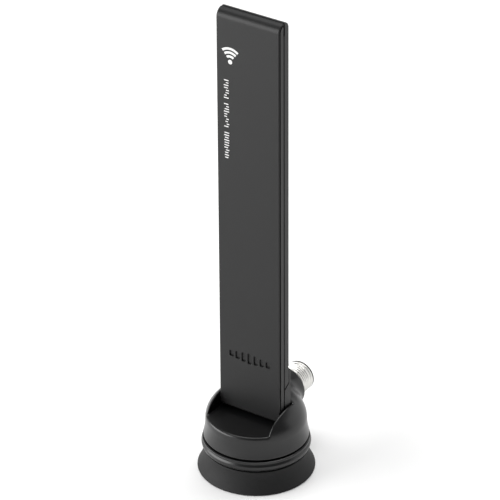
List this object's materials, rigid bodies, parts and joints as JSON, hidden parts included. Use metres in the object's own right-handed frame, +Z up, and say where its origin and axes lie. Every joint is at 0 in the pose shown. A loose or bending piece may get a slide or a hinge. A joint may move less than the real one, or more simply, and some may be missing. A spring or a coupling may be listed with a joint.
{
  "type": "indoor television antenna",
  "caption": "Small upright paddle antenna for television, folding in the slot of a swivelling dome on a rubber suction cup, with a round coaxial jack at the back.",
  "frame": {"origin": "on the surface the cup stands on, under the middle of the whole footprint; the cup's own axis is 3.4 mm towards -Y from it", "axes": "+Z up along the paddle; -Y is the paddle's front face; +Y is the way the jack points; +X is to the right seen from the front"},
  "size_m": [0.0352, 0.042, 0.15],
  "materials": {
    "shell_plastic": "fine matte moulded",
    "dome_plastic": "satin moulded",
    "cup_rubber": "matte",
    "nickel": "bright nickel plate",
    "steel": "zinc plated",
    "brass": "plain",
    "copper": "copper foil",
    "solder": "dull",
    "board": "coated board",
    "white_plastic": "plain",
    "ceramic": "plain",
    "fibre": "pressed fibre",
    "jacket": "cable jacket"
  },
  "bodies": {
    "cup": {"suction_cup": "cup_rubber"},
    "foot": {"cup_stud": "steel", "swivel_hub": "dome_plastic", "collar_ring": "dome_plastic", "friction_disc": "fibre", "wave_washer": "steel", "spindle_washer": "steel", "spindle_nut": "steel"},
    "turret": {"dome_housing": "dome_plastic", "base_plate": "dome_plastic", "base_screw_1": "steel", "base_screw_2": "steel", "base_screw_3": "steel", "jack_body": "nickel", "jack_insulator": "white_plastic", "jack_contact": "brass", "jack_lock_washer": "steel", "jack_nut": "nickel", "coax_lower": "jacket", "friction_washer_left": "fibre", "friction_washer_right": "fibre"},
    "paddle": {"front_shell": "shell_plastic", "rear_shell": "shell_plastic", "neck_bracket": "shell_plastic", "neck_screw_left": "steel", "neck_screw_right": "steel", "hinge_pin_left": "steel", "hinge_pin_right": "steel", "antenna_board": "board", "board_screw_upper": "steel", "board_screw_lower": "steel", "upper_element": "copper", "lower_element": "copper", "matching_coil": "ceramic", "coupling_capacitor": "ceramic", "feed_solder": "solder", "coax_upper": "jacket"}
  },
  "joints": [
    {"name": "cup_press", "type": "slide", "parent": "cup", "child": "foot", "axis": [0, 0, -1], "range_m": [0, 0.002], "stiffness_N_per_m": 3000, "deforming": ["suction_cup"]},
    {"name": "dome_swivel", "type": "hinge", "parent": "foot", "child": "turret", "pos_m": [0, -0.0034, 0.0112], "axis": [0, 0, 1], "continuous": true},
    {"name": "paddle_fold", "type": "hinge", "parent": "turret", "child": "paddle", "pos_m": [0, -0.0049, 0.021], "axis": [1, 0, 0], "range_deg": [0, 90]}
  ]
}
